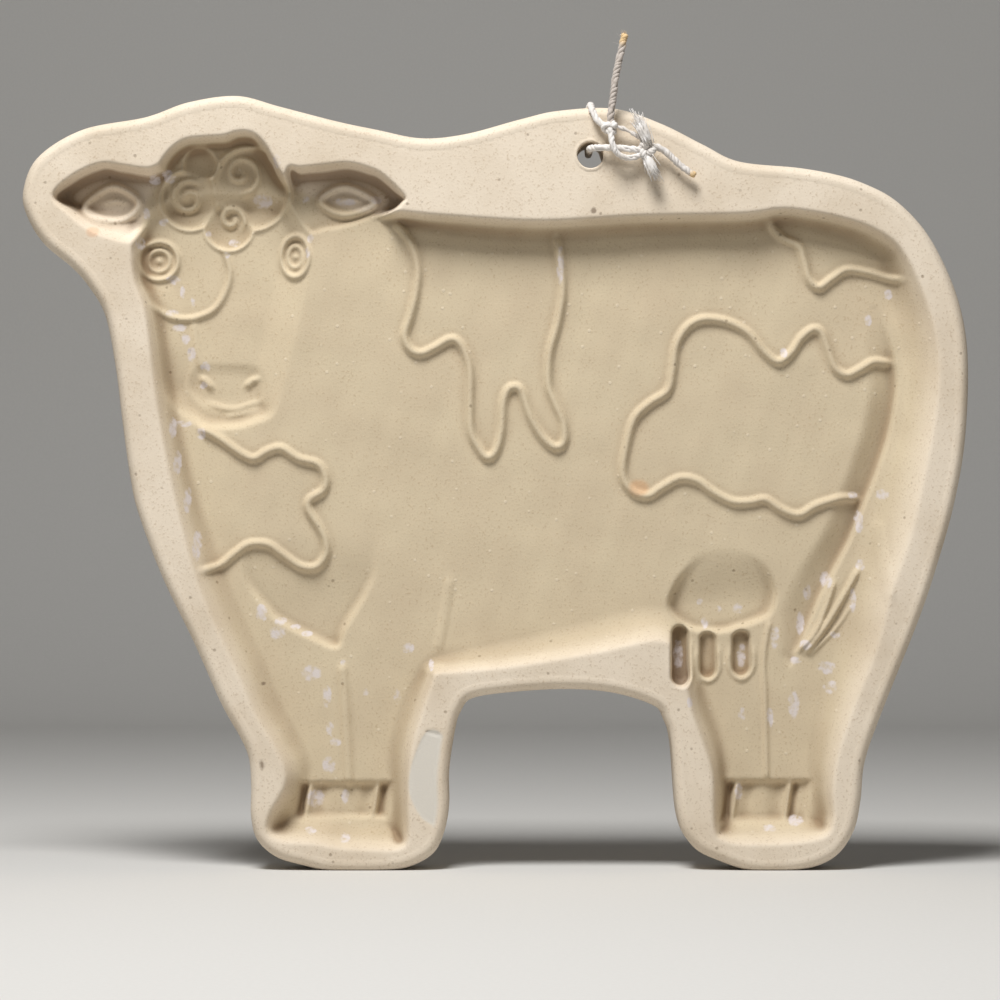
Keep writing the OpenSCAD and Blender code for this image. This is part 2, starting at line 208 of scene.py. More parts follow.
LONG_ROUTE = [(26.9, -10.7, 174.6), (27.1, -10.8, 177), (27.5, -11, 180.5), (28.3, -11.3, 186.4),
              (29.3, -11.5, 191.3), (30.4, -11.7, 196.3)]
LINK_ROUTE = [(27, -11, 174.2), (27.2, -11.7, 172.3), (27.5, -12.3, 170.3), (28.4, -12, 168.4),
              (30.4, -11.4, 167.3), (32.8, -11, 167.5), (35, -11, 168.5)]
TIE_ROUTE = [(27.2, -10.7, 174.6), (28.9, -10.5, 174.6), (31.2, -10.3, 173.7), (33.3, -10.3, 172.5),
             (34.9, -10.5, 171), (35.5, -10.9, 169.8)]
SHORT_ROUTE = [(35.4, -11, 169.8), (36.7, -10.9, 170.1), (38.2, -10.7, 169.8), (39.8, -10.5, 168.9),
               (41.5, -10.4, 167.4), (43.8, -10.3, 165.3), (46.9, -10.3, 163.1)]


def along_line(line):
    """How far along the line each of its rows lies."""
    return np.concatenate([[0], np.cumsum(np.linalg.norm(np.diff(line, axis=0), axis=1))])


def twist(shape, line, diameter, strands=3, pitch=4.2, dirt=0.0, tan_end=0.0):
    """Strands wound unevenly round a line. The last stretch may be tan, where the cut end is dirty."""
    first, second = carried_frames(line)
    along = along_line(line)
    radius, offset = 0.29 * diameter, 0.21 * diameter
    lay = along + 0.6 * np.sin(along * 0.9) + 0.3 * np.sin(along * 2.1)
    for k in range(strands):
        turn = 2 * math.pi * (lay / pitch + k / strands)
        middle = line + offset * (np.cos(turn)[:, None] * first + np.sin(turn)[:, None] * second)
        swell = 1 + 0.1 * np.sin(along * 2.3 + k) + 0.07 * np.sin(along * 5.1 + 2 * k)
        ends = np.clip(np.minimum(along, along[-1] - along) / 0.4 + 0.45, 0, 1)
        tan = np.clip((along - along[-1] + tan_end) / max(tan_end, 0.1) * 2, 0, 1) * (tan_end > 0)
        shape.add_tube(middle, radius * swell * ends, 8, dirt=dirt, tan=tan)


def knot_line(centre, size, lean):
    """A tight overhand knot as a closed line, squeezed to a size, in rows about 0.3 mm apart."""
    t = np.linspace(0.35, 2 * math.pi + 0.2, 70)
    x = np.sin(t) + 2 * np.sin(2 * t)
    z = np.cos(t) - 2 * np.cos(2 * t)
    y = -np.sin(3 * t)
    c, s = math.cos(lean), math.sin(lean)
    flat = np.stack([(c * x - s * z) / 3, y, (s * x + c * z) / 3], 1)
    return np.array(centre) + flat * np.array(size)


def add_hairs(shape, rng, roots, ahead, count, length, spread, radius=0.05, curl=0.5, tan=0.0,
              dirt=0.0, shortest=0.5, scatter=0.12):
    """Loose fibres that leave the roots about one direction and curl a little."""
    ahead = np.array(ahead, float) / np.linalg.norm(ahead)
    for _ in range(count):
        root = roots[rng.integers(len(roots))] + rng.normal(0, scatter, 3)
        way = ahead + rng.normal(0, spread, 3)
        way /= np.linalg.norm(way)
        bend = rng.normal(0, curl, 3)
        reach = length * rng.uniform(shortest, 1)
        t = np.linspace(0, 1, 6)[:, None]
        line = root + reach * (t * way + 0.35 * t ** 2 * bend)
        shape.add_tube(line, radius * np.linspace(1, 0.45, 6), 4, dirt=dirt, tan=tan)


def cotton_string():
    """Spun cotton, matt and soft: off-white in the knots, greyed brown by a value per run as painted
    shade, strongest on the long upright end.
    """
    material, tree, shader = new_material("twisted_cotton_string")
    dirt = add(tree, "Attribute", attribute_name="dirt").outputs["Fac"]
    tan = add(tree, "Attribute", attribute_name="tan").outputs["Fac"]
    place = add(tree, "TexCoord").outputs["Object"]
    # Fibres are 0.015 mm thick, drawn ten times as coarse so that they show
    fibres = add(tree, "TexNoise", {"Vector": place, "Scale": 5000, "Detail": 3}).outputs["Fac"]
    # Handling marks, about 2 mm long
    grime = add(tree, "TexNoise", {"Vector": place, "Scale": 420, "Detail": 2}).outputs["Fac"]
    dull = add(tree, "MapRange", {"Value": grime, 1: 0.42, 2: 0.72, 3: 0, 4: 0.6}).outputs[0]
    pale = add(tree, "Mix", {0: dull, 6: tint("#E4E0DC"), 7: tint("#CCC2B5")}, data_type="RGBA")
    # Grey-brown by the per-run value: painted shade, strong on the long upright end and slight on the
    # other runs
    shaded_grey = add(tree, "Mix", {0: dirt, 6: pale.outputs[2], 7: tint("#AFA297")}, data_type="RGBA")
    ends = add(tree, "Mix", {0: tan, 6: shaded_grey.outputs[2], 7: tint("#D8B98A")}, data_type="RGBA")
    bump = add(tree, "Bump", {"Height": fibres, "Distance": 0.00006, "Strength": 0.7})
    tree.links.new(ends.outputs[2], shader.inputs["Base Color"])
    tree.links.new(bump.outputs[0], shader.inputs["Normal"])
    shader.inputs["Roughness"].default_value = 0.92
    shader.inputs["Sheen Weight"].default_value = 0.25
    return material


def make_string():
    """The cord through the hole with its knots, short runs and frayed ends."""
    rng = np.random.default_rng(7)
    cotton = cotton_string()
    main_line = smooth_route(LOOP_ROUTE)
    main = Shape()
    twist(main, main_line, STRING_D, dirt=0.1)
    cord = main.build("cotton_cord", cotton, ["string_loop"])
    # The fifth column sets how grey-brown each run is; the long upright run's 0.75 is painted shade
    for name, node, route, diameter, dirt, tan_end in [
            ("string_long_run", "string_long_end", LONG_ROUTE, 1.8, 0.75, 3.2),
            ("string_link_run", "string_link", LINK_ROUTE, 1.5, 0.1, 0),
            ("string_tie_run", "string_tie", TIE_ROUTE, 1.2, 0.2, 0),
            ("string_short_run", "string_short_end", SHORT_ROUTE, 1.7, 0.25, 1.6)]:
        run = Shape()
        twist(run, smooth_route(route), diameter, 2 if diameter < 1.3 else 3, 3.8, dirt, tan_end)
        run.build(name, cotton, [node])
    for name, node, centre, size, lean, thick in [
            ("knot_top_wound", "knot_top", (26.9, -10.6, 174.4), (1.3, 0.7, 1.25), 0.5, 1.75),
            ("knot_side_wound", "knot_side", (35.6, -11, 169), (1.6, 0.8, 1.5), 1.9, 1.8)]:
        knot = Shape()
        twist(knot, knot_line(centre, size, lean), thick, 3, 3.2, 0.05)
        knot.build(name, cotton, [node])
    for name, node, start, end in [
            ("fray_up_tuft", "fray_up", (36, -11.9, 170.6), (33.5, -12.1, 176)),
            ("fray_down_tuft", "fray_down", (35.2, -11.2, 167.9), (37.4, -11.4, 163.4))]:
        tuft = Shape()
        core = np.linspace(start, end, 9)
        swell = np.array([0.6, 1, 1.2, 1.3, 1.34, 1.32, 1.26, 1.1, 0.6])
        tuft.add_tube(core, swell, 10, dirt=0.0, tan=0.0)
        way = np.array(end) - np.array(start)
        add_hairs(tuft, rng, core[:4], way, 220, np.linalg.norm(way) - 0.5, 0.08, 0.13, 0.3,
                  shortest=0.6, scatter=0.5)
        tuft.build(name, cotton, [node])
    tip = Shape()
    long_line = smooth_route(LONG_ROUTE)
    add_hairs(tip, rng, long_line[-3:], (0.1, 0, 1), 26, 1.1, 0.5, 0.05, 0.7, 0.8)
    # Fibres along the long upright end, greyed brown as painted shade
    add_hairs(tip, rng, long_line[-26:-2], (-0.6, -0.1, 0.8), 9, 2.2, 0.6, 0.035, 0.9, dirt=0.4)
    tip.build("long_end_fibres", cotton)


# The mould's drawing: places in the plane of its face, x to the rump and z up

OUTLINE = [
    [-111.5, 160], [-108, 168], [-97.5, 174.5], [-82.5, 177.5], [-72.5, 181], [-61, 182.5],
    [-51, 180], [-37.5, 176.5], [-28, 174.5], [-17.5, 172.5], [-7, 173.5], [6, 177], [15, 179],
    [28, 179.5], [39, 176], [49, 171], [57.5, 167], [71.5, 165.5], [80, 164], [86.5, 162],
    [93.5, 158.5], [99.5, 153], [104, 146.5], [108.5, 136.5], [111, 126], [111.5, 114],
    [110.5, 99], [108, 85.5], [104.5, 73], [100, 59.5], [91, 37], [87, 25.5], [86, 16.5],
    [84.5, 9.5], [81, 4], [76, 1], [69, -0.5], [61, -0.5], [53, 2], [46.5, 5.5], [43, 12.5],
    [41.5, 29.5], [40, 35], [37.5, 38.5], [28.5, 41.5], [18, 42.5], [6, 42], [-5, 40.5],
    [-8, 37.5], [-9.5, 33], [-11, 23], [-11, 15], [-12, 9], [-14.5, 4], [-20, 0.8], [-27, -0.5],
    [-38, -0.5], [-45, 1], [-51.5, 3], [-56, 7], [-57.5, 12.5], [-57.5, 19.5], [-58, 26],
    [-60, 31], [-64.5, 39], [-71, 53.5], [-78.5, 69], [-84, 83.5], [-86, 92], [-88, 106],
    [-89.5, 118], [-92, 130.5], [-96, 137.5], [-100, 142], [-106.5, 147.5], [-110.5, 154]]

# Edges of hollows: x, z, the width of the wall there, and how the wall runs out: 1 straight, 2 round
BODY = [
    [-52.5, 167.5, 2.2, 2], [-48.5, 162, 2, 2], [-36, 157, 2, 2], [-23.5, 155, 2.2, 2],
    [-9.5, 153.8, 3.4, 2], [11, 152.8, 4, 2], [34, 154, 4, 2], [58, 154.5, 3.8, 2],
    [67, 155.6, 3.6, 2], [74, 155, 3.6, 2], [81.5, 153.5, 3.8, 2], [88, 151.5, 4.4, 2],
    [94, 148, 5, 2], [97.5, 143.5, 6, 2], [101, 136, 7, 1.8], [103.5, 128, 8, 1.8],
    [104.7, 119, 9, 1.8], [104, 108, 10, 1.8], [102, 96.5, 11, 1.8], [98.5, 80, 12, 1.7],
    [93.5, 65, 11, 1.7], [90, 52, 10, 1.7], [85, 39.5, 8.5, 1.7], [81, 28, 6.5, 1.7],
    [79.5, 19.5, 5, 1.7], [79.5, 12, 4, 1.8], [77.5, 8, 4.5, 1.8], [70.5, 6.3, 6.5, 1.9],
    [60, 6, 6.5, 1.9], [53.5, 7, 4.5, 1.7], [51.3, 10, 4, 1.5], [51, 22, 3.5, 1.5],
    [49, 29, 4.5, 1.5], [46.5, 36, 4.5, 1.5], [44.8, 44, 4, 1.6], [43, 51, 4, 1.8],
    [38, 53.8, 8.5, 2], [25.5, 51.3, 8.5, 2], [14, 49.3, 7.5, 2], [1.5, 47.5, 6.5, 2],
    [-9, 46.5, 5, 1.8], [-13.6, 46.2, 3.8, 1.6], [-14.6, 44.5, 3.8, 1.5], [-17, 37, 5, 1.5],
    [-19.6, 27.5, 5, 1.5], [-20.2, 18, 4.5, 1.5], [-20.3, 8, 4, 1.6], [-22, 5.2, 4, 1.8],
    [-26, 4.6, 6.5, 1.9], [-36, 5, 6.5, 1.9], [-43, 6.2, 6.5, 1.9], [-50.5, 6.7, 5.5, 1.8],
    [-53.8, 8.8, 5.5, 1.7], [-53.5, 13, 5.5, 1.6], [-50, 19.5, 5.5, 1.5], [-49.8, 24, 5.5, 1.4],
    [-52.5, 29.5, 5.5, 1.4], [-57, 37, 6, 1.4], [-60.8, 46, 6.2, 1.4], [-65, 55, 6.2, 1.4],
    [-70.5, 68, 6, 1.4], [-75.2, 86, 4.6, 1.4], [-78.5, 102, 4.2, 1.5], [-80.5, 115, 4, 1.6],
    [-82.5, 131, 3.6, 1.8], [-85, 139, 3, 1.8], [-85.5, 147, 3, 1.8], [-84, 156, 2.6, 1.8],
    [-80.5, 163.5, 2, 1.8], [-77, 169, 2, 1.8], [-73, 171.8, 2, 1.8], [-68, 172.4, 2, 1.8],
    [-64, 172.7, 2, 1.8], [-60.5, 173.7, 2, 1.8], [-57, 173.2, 2, 1.8], [-54, 170.2, 2, 2]]
LEFT_EAR = [
    [-104, 158.8, 1.6], [-99.5, 163.3, 1.8], [-93, 166.2, 2.2], [-87.5, 165.7, 2.4],
    [-82, 165, 2.4], [-77, 166, 2.6], [-76, 158, 3], [-80, 150.5, 4], [-85.5, 147.8, 6],
    [-90.5, 148.5, 7.5], [-96, 150.8, 6.5], [-100.8, 154.8, 3.5]]
RIGHT_EAR = [
    [-21.6, 158.6, 1.6], [-22, 157.2, 1.6], [-24, 155, 2], [-28.8, 152, 3.4], [-34.2, 149.7, 4],
    [-39.6, 148.7, 4], [-45, 149, 3], [-50, 156, 3], [-49, 164.8, 2], [-46, 165.2, 2],
    [-41.2, 165.7, 2.2], [-35, 166.3, 2.2], [-30, 165.2, 2.2], [-26.4, 163.3, 1.8]]
FACE = [
    [-60, 160, 4], [-49, 158, 4], [-43.6, 150, 5], [-43.5, 144, 7], [-45, 136, 8.2],
    [-48, 124, 8.2], [-50.5, 113, 7], [-52.8, 107.2, 4], [-57, 105.3, 3], [-61.5, 104.1, 2.6],
    [-67.5, 104.1, 2.6], [-72, 105.8, 3], [-76, 109, 4], [-79.5, 114, 6], [-80.8, 124, 8.6],
    [-82.8, 133, 8.6], [-86, 140, 6], [-86, 149, 4], [-80, 158, 4]]
MUZZLE = [
    [-70.5, 119.3, 3.4], [-63, 119.4, 3], [-56.5, 118.8, 3.4], [-54.2, 114, 4.5],
    [-56, 110.2, 4.5], [-62, 108.5, 3.6], [-69.5, 109.6, 2.6], [-73, 114, 1.6]]
CHEST = [
    [-54, 60.5, 2.2], [-49.7, 57.1, 2.2], [-43.8, 54.1, 2.2], [-39, 52, 2.2], [-36.7, 52.6, 2],
    [-35.3, 56.4, 2.2], [-32.3, 61.3, 2.2], [-30, 65.3, 2.2], [-28, 71, 2.2], [-28, 84, 2.2],
    [-38, 90, 2.2], [-56, 84, 2.2], [-60, 70, 2.2]]
UDDER = [
    [41, 64.2, 2.4], [44, 70, 2.4], [50, 75.5, 2.4], [57, 76.2, 2.4], [63.5, 72.5, 2.4],
    [66.6, 66, 2.4], [65.3, 60.2, 2.2], [60.2, 57.6, 1.8], [54.4, 56, 1.6], [49.7, 55.9, 1.6],
    [44.8, 57.2, 1.8], [41.2, 60.6, 2.2]]

# Middle lines of the raised beads that draw the spots
NECK = [
    [-70, 104.3], [-65.5, 101.8], [-60, 98], [-57, 97], [-54, 98.7], [-50.7, 99.4], [-46.7, 97],
    [-42, 95.6], [-40.2, 92.4], [-40.8, 89.4], [-44, 87.2], [-44.2, 84.7], [-41.6, 80.6],
    [-40.2, 77.4], [-40.2, 74], [-42.5, 71.2], [-46.2, 71.4], [-50.4, 74.2], [-54, 76.6],
    [-58.4, 76.6], [-62, 74.2], [-64.8, 71.9], [-69, 70.3]]
MIDDLE = [
    [-24.3, 153], [-21.7, 150.4], [-19.5, 146.4], [-18.4, 141.5], [-18.9, 136], [-20.2, 130.6],
    [-21.5, 126.2], [-20.3, 123], [-17.7, 121.9], [-14.5, 123.2], [-10.9, 125.2], [-8.8, 124.6],
    [-7, 121.7], [-6, 117.3], [-6, 110.5], [-5.8, 103.5], [-4, 99.6], [-2, 97.2], [0.1, 98.7],
    [1.4, 103.6], [1.8, 109.8], [2.9, 113.1], [4.6, 114], [6.3, 112.7], [8.3, 107], [11.2, 102],
    [14.2, 99.6], [16.3, 101], [16.1, 105.5], [14.2, 110], [12.6, 114.4], [12.8, 121.7],
    [14.7, 128.8], [15.9, 136], [15.6, 142], [14.4, 149.5]]
RIGHT = [
    [94.1, 119.4], [89.9, 119.9], [86.4, 118.1], [83.3, 116.8], [80.6, 118.4], [78.8, 123.1],
    [77.3, 126.8], [75.3, 127.6], [72.5, 125.5], [70.1, 122], [67.1, 119.9], [64, 122],
    [59.9, 126.8], [54.6, 129.5], [49.2, 130], [45.5, 128.1], [42.9, 123.8], [42, 117.7],
    [40.8, 113], [36.5, 110], [33, 106.5], [31.1, 100.3], [30.2, 93.3], [32.3, 89.3], [36, 88.1],
    [39.6, 90.2], [43.8, 92.3], [47.9, 91.6], [51.6, 89], [56.3, 86.7], [60.5, 86.7], [64, 87.2],
    [67.8, 84.8], [71.9, 83.6], [76, 85.8], [81.4, 87.4], [86, 87.4]]
RUMP = [
    [64.5, 153], [67.8, 149.5], [71.9, 147.1], [73.2, 143.6], [74.4, 139.4], [76.7, 137.5],
    [79.8, 139.6], [83.3, 141.7], [88, 141.2], [91.8, 140.1], [96, 139]]
EYE_PATCH = [
    [-65.2, 147.6], [-64.2, 145.5], [-63.1, 141], [-64.3, 136.3], [-67.1, 132.3], [-71.8, 130.4],
    [-76.5, 130.4], [-79.5, 132], [-81.2, 133.5]]
LEFT_ALMOND = [
    [-97.4, 156.6], [-94.8, 159.6], [-91, 161.5], [-87, 160.3], [-84.6, 157.6], [-86.4, 154.6],
    [-90.1, 153.4], [-94.6, 154.2]]
RIGHT_ALMOND = [
    [-41.6, 158.2], [-39.4, 160.4], [-35.8, 161.5], [-31.8, 160.3], [-28.6, 157.9],
    [-31.4, 155.8], [-35.8, 154.8], [-39.6, 156]]

# Folds: x, z, how far the floor drops right of the line, and over how far it comes up again
TAIL_EDGE = [
    [91, 133.5, 0.1, 3], [92.4, 129.5, 0.4, 5], [94, 124.5, 1.1, 7], [95.2, 119, 2.1, 7.5],
    [95.3, 112.5, 2.5, 7.5], [93.6, 103, 2.6, 7.5], [90.6, 93.5, 2.6, 7.5], [87.4, 85.5, 2.6, 7.5],
    [84.2, 77.5, 2.6, 7.5], [80.8, 71, 2.6, 8], [77.4, 64.5, 2.5, 8.5], [74.4, 57.3, 2, 8],
    [71.3, 50.5, 0.8, 4]]
HAIRS = [
    [1.7, 1.3, [[86, 71], [82.5, 64.5], [78, 57], [73.4, 51]]],
    [1.3, 1, [[80.4, 68], [78.2, 61.5], [75.8, 56.2], [71.6, 51.2]]],
    [0.9, 0.6, [[84.4, 62.5], [81.2, 57.5], [77.2, 53.2], [74.6, 50.6]]],
    [0.8, 0.6, [[77.4, 58.6], [74.8, 54.4], [72.4, 52.2]]]]
# Curls: middle, radii, depth below the rim; and their spirals: middle, radii, turns, first angle
CURLS = [
    [-58.2, 161, 9.3, 9.6, 3.4], [-72.6, 158.4, 7, 7, 3], [-63.4, 152.4, 5.8, 5.9, 3.2],
    [-70, 166.6, 4.2, 4, 2.2]]
SPIRALS = [
    [-60.6, 164.8, 0.6, 5, 1.3, 20], [-73, 158.9, 0.5, 4.4, 1.4, 200],
    [-62.9, 154, 0.4, 3.4, 1.3, 60]]
# Eyes: middle, outer radii, radii of the inner ring
EYES = [[-80, 144, 4.5, 4.5, 2.5, 2.5], [-47.6, 145, 3.3, 4.9, 1.7, 2.6]]
# Teats: x, z of the top and of the bottom, radius
TEATS = [[43.8, 55.5, 45.6, 2.5], [50.3, 54.2, 46.8, 2.5], [58.2, 54.2, 47.5, 2.8]]
# Hooves: left, right, bottom, top, and the slots between the toes
HOOVES = [[-46.9, -25.3, 12, 20.2, (-45.6, -26.9)], [53.6, 73.7, 11.2, 20.6, (55.2, 70.6)]]
# Raised creases: width, height, and the points of each line
CREASES = [
    [2.6, 0.8, [[-36.3, 48.4], [-35.4, 35.3], [-34.7, 20]]],
    [2.6, 0.45, [[-10.7, 68.9], [-12, 60], [-13.7, 51.5]]],
    [1.4, 0.8, [[65, 58.5], [63.6, 50], [63.9, 38], [64.2, 21]]],
    [2.2, 0.5, [[-72, 130.5], [-71.2, 124], [-69.6, 118]]],
    [3.2, 0.35, [[90.4, 82.3], [91.6, 73], [92.7, 63.5]]]]

# Marks on the face, each as read in the photograph, in its pixels, with half its width and height
PHOTO_MM = 0.235
PHOTO_MIDDLE = 495.5
PHOTO_FLOOR = 870
RESIDUE = [
    [138, 241, 5, 9], [170, 276, 9, 7], [179, 289, 4, 9], [189, 299, 4, 8], [169, 310, 9, 5],
    [176, 325, 10, 5], [182, 336, 6, 8], [188, 351, 6, 11], [202, 364, 7, 7], [200, 383, 6, 5],
    [171, 426, 5, 14], [182, 422, 10, 5], [199, 432, 7, 8], [176, 462, 5, 16], [186, 500, 5, 18],
    [196, 545, 6, 20], [309, 235, 5, 7], [306, 249, 4, 9], [231, 238, 8, 6], [205, 230, 4, 5],
    [224, 251, 4, 5], [143, 210, 5, 8], [160, 218, 7, 5], [166, 172, 9, 9], [152, 176, 9, 6],
    [276, 160, 6, 9], [260, 196, 13, 10], [304, 196, 5, 7], [374, 196, 9, 6], [344, 198, 14, 6],
    [260, 613, 8, 11], [279, 621, 8, 6], [294, 627, 7, 4], [305, 634, 8, 4], [276, 633, 11, 9],
    [310, 674, 13, 11], [326, 697, 6, 15], [328, 729, 6, 9], [334, 743, 9, 6], [328, 766, 9, 11],
    [314, 800, 12, 12], [344, 798, 6, 11], [345, 838, 7, 7], [310, 831, 8, 5], [342, 663, 4, 4],
    [365, 693, 5, 5], [408, 649, 8, 7], [431, 665, 4, 8], [397, 697, 5, 11], [561, 262, 5, 26],
    [702, 602, 5, 5], [722, 609, 5, 5], [741, 609, 8, 7], [707, 623, 5, 8], [680, 655, 7, 20],
    [744, 655, 7, 16], [690, 702, 4, 9], [744, 716, 5, 11], [777, 637, 6, 17], [772, 718, 5, 13],
    [796, 706, 8, 18], [803, 625, 6, 16], [810, 592, 6, 11], [829, 580, 8, 11], [808, 645, 8, 7],
    [798, 661, 8, 6], [838, 634, 7, 6], [829, 668, 13, 9], [832, 687, 9, 9], [863, 565, 6, 9],
    [855, 600, 5, 18], [741, 793, 6, 11], [771, 829, 9, 5], [798, 822, 11, 7], [892, 292, 6, 7],
    [872, 318, 5, 8], [786, 351, 5, 7], [856, 494, 7, 5], [886, 494, 9, 8], [862, 522, 6, 16]]
STAINS = [[92, 231, 7, 6], [640, 487, 11, 9]]
DARK_SPOTS = [[259, 765, 6, 6], [594, 210, 3, 3], [262, 684, 2, 2], [186, 348, 2, 2]]
PATCH = [[427, 731], [444, 736], [447, 766], [445, 800], [441, 823], [434, 825], [420, 815],
         [409, 790], [413, 760]]
CRACK = [[458, 708], [453, 722], [445, 733], [436, 734], [427, 731]]
BODY_DEPTH = 7.5


# The relief on a fine lattice over the mould's face

PITCH = 0.36
LOW = (-112.5, -1.5)
HIGH = (112.5, 183.5)
COUNTS = [2 * math.ceil((HIGH[k] - LOW[k]) / PITCH / 2) + 1 for k in (0, 1)]
COLS = LOW[0] + PITCH * np.arange(COUNTS[0])
ROWS = LOW[1] + PITCH * np.arange(COUNTS[1])
X, Z = np.meshgrid(COLS, ROWS)


def window(line, reach):
    """The part of the lattice within reach of a line."""
    low, high = line[:, :2].min(0) - reach, line[:, :2].max(0) + reach
    i0, i1 = np.searchsorted(COLS, [low[0], high[0]])
    j0, j1 = np.searchsorted(ROWS, [low[1], high[1]])
    return np.s_[j0:j1, i0:i1]


class Near:
    """How each lattice point in the window round a line lies to it."""

    def __init__(self, points, reach, closed=False, step=0.3):
        line = smooth_line(points, closed, step)
        self.line, self.box = line, window(line, reach)
        x, z = X[self.box], Z[self.box]
        tree = KDTree(len(line))
        for i, p in enumerate(line):
            tree.insert((p[0], p[1], 0), i)
        tree.balance()
        find = tree.find
        found = [find((a, b, 0))[1] for a, b in zip(x.ravel().tolist(), z.ravel().tolist())]
        found = np.array(found).reshape(x.shape)
        n = len(line)
        self.distance = np.full(x.shape, np.inf)
        self.side = np.zeros(x.shape)
        self.values = np.zeros((line.shape[1] - 2, *x.shape))
        self.along = np.zeros(x.shape)
        for shift in (-1, 0):
            if closed:
                a, b = (found + shift) % n, (found + shift + 1) % n
            else:
                a = np.clip(found + shift, 0, n - 2)
                b = a + 1
            step_x, step_z = line[b, 0] - line[a, 0], line[b, 1] - line[a, 1]
            from_x, from_z = x - line[a, 0], z - line[a, 1]
            size = np.maximum(step_x ** 2 + step_z ** 2, 1e-12)
            t = np.clip((from_x * step_x + from_z * step_z) / size, 0, 1)
            d = np.hypot(from_x - t * step_x, from_z - t * step_z)
            closer = d < self.distance
            self.distance = np.where(closer, d, self.distance)
            right = np.sign(from_x * step_z - from_z * step_x)
            self.side = np.where(closer, right, self.side)
            self.along = np.where(closer, (a + t) / n, self.along)
            for k in range(len(self.values)):
                value = line[a, k + 2] * (1 - t) + line[b, k + 2] * t
                self.values[k] = np.where(closer, value, self.values[k])

    def inside(self):
        """The distance, above zero inside the closed line and below zero outside."""
        a, b = self.line, np.roll(self.line, -1, 0)
        rows, cols = Z[self.box][:, 0], X[self.box][0]
        sign = np.full(self.distance.shape, -1.0)
        for j, z in enumerate(rows):
            cross = (a[:, 1] > z) != (b[:, 1] > z)
            p, q = a[cross], b[cross]
            at = np.sort(p[:, 0] + (z - p[:, 1]) * (q - p)[:, 0] / (q - p)[:, 1])
            sign[j, np.searchsorted(at, cols) % 2 == 1] = 1
        return self.distance * sign

    def length(self):
        """The length of the line."""
        return np.linalg.norm(np.diff(self.line[:, :2], axis=0), axis=1).sum()


def eased(d, r):
    """The distance where it is above zero, eased to zero over r on each side."""
    return np.where(d > r, d, np.where(d < -r, 0, (d + r) ** 2 / (4 * r)))


def ramp(v, start, end):
    """0 at the start and 1 at the end, smooth between."""
    t = np.clip((v - start) / (end - start), 0, 1)
    return t * t * (3 - 2 * t)


def blended_max(a, b, k):
    """The larger of two, with the corner between them rounded over k."""
    h = np.clip(0.5 + 0.5 * (a - b) / k, 0, 1)
    return b * (1 - h) + a * h + k * h * (1 - h)


def hollow(edge, depth, lip=0.6, run_out=1.8):
    """Depth of a hollow with a rounded lip and a wall that runs out softly into its floor."""
    near = Near(edge, 2, closed=True)
    d = eased(near.inside(), lip)
    power = near.values[1] if len(near.values) > 1 else run_out
    out = np.zeros(X.shape)
    out[near.box] = depth * (1 - (1 - np.clip(d / near.values[0], 0, 1)) ** power)
    return out


def bead(points, width, height, closed=False, fade=2.5):
    """Height of a round bead along a line, which fades out at its ends."""
    near = Near(points, width, closed)
    across = np.clip(1 - (near.distance / (width / 2)) ** 2, 0, 1) ** 0.75
    if not closed:
        length = near.length()
        ends = np.minimum(near.along, 1 - near.along) * length / fade + 0.2
        across = across * np.clip(ends, 0, 1)
    out = np.zeros(X.shape)
    out[near.box] = height * across
    return out


def fold(points, crisp=1.1):
    """Depth right of a line: it drops at once by the third value and comes up over the fourth."""
    near = Near(points, 14)
    s = near.distance * near.side
    drop, run = near.values
    inner = np.clip((near.along - 0.001) * 400, 0, 1) * np.clip((0.999 - near.along) * 400, 0, 1)
    shape = ramp(s, -0.2, crisp) * (1 - ramp(s, crisp, np.maximum(run, crisp + 0.5)))
    out = np.zeros(X.shape)
    out[near.box] = drop * shape * inner
    return out


def on_face(px, py):
    """A place in the photograph as millimetres in the plane of the face."""
    return (px - PHOTO_MIDDLE) * PHOTO_MM, (PHOTO_FLOOR - py) * PHOTO_MM


def spots(marks):
    """1 within the marks and 0 outside them, fading over their edges."""
    out = np.zeros(X.shape)
    for px, py, half_wide, half_high in marks:
        x, z = on_face(px, py)
        r = np.hypot((X - x) / (half_wide * PHOTO_MM), (Z - z) / (half_high * PHOTO_MM))
        out = np.maximum(out, 1 - ramp(r, 0.5, 1.3))
    return out


def spiral(x, z, inner, outer, turns, start):
    """Points of a spiral that opens clockwise."""
    t = np.linspace(0, 1, int(12 * turns) + 2)
    turn = math.radians(start) - t * turns * 2 * math.pi
    r = inner + (outer - inner) * t
    return np.stack([x + r * np.cos(turn), z + r * np.sin(turn)], 1)


def waves(size, seed, count=14):
    """A smooth uneven surface between about -1 and 1, whose waves are about that size."""
    rng = np.random.default_rng(seed)
    out = np.zeros(X.shape)
    for _ in range(count):
        turn, phase = rng.uniform(0, 2 * math.pi, 2)
        k = 2 * math.pi / (size * rng.uniform(0.7, 1.6))
        out += np.cos(k * (X * math.cos(turn) + Z * math.sin(turn)) + phase)
    return out / math.sqrt(count)


def blurred(v, size):
    """The lattice values, blurred over about that size in millimetres."""
    reach = max(1, int(round(size / PITCH)))
    kernel = np.exp(-0.5 * (np.arange(-2 * reach, 2 * reach + 1) / (0.7 * reach)) ** 2)
    kernel /= kernel.sum()
    for axis in (0, 1):
        pads = [(2 * reach, 2 * reach) if k == axis else (0, 0) for k in (0, 1)]
        padded = np.pad(v, pads, mode="edge")
        v = sum(w * np.take(padded, np.arange(k, k + v.shape[axis]), axis)
                for k, w in enumerate(kernel))
    return v


def ring_of(x, z, rx, rz, width):
    """1 on an oval ring, falling to 0 at half its width."""
    size = (rx + rz) / 2
    r = np.hypot((X - x) / rx, (Z - z) / rz)
    return np.clip(1 - ((r - 1) * size / (width / 2)) ** 2, 0, 1)


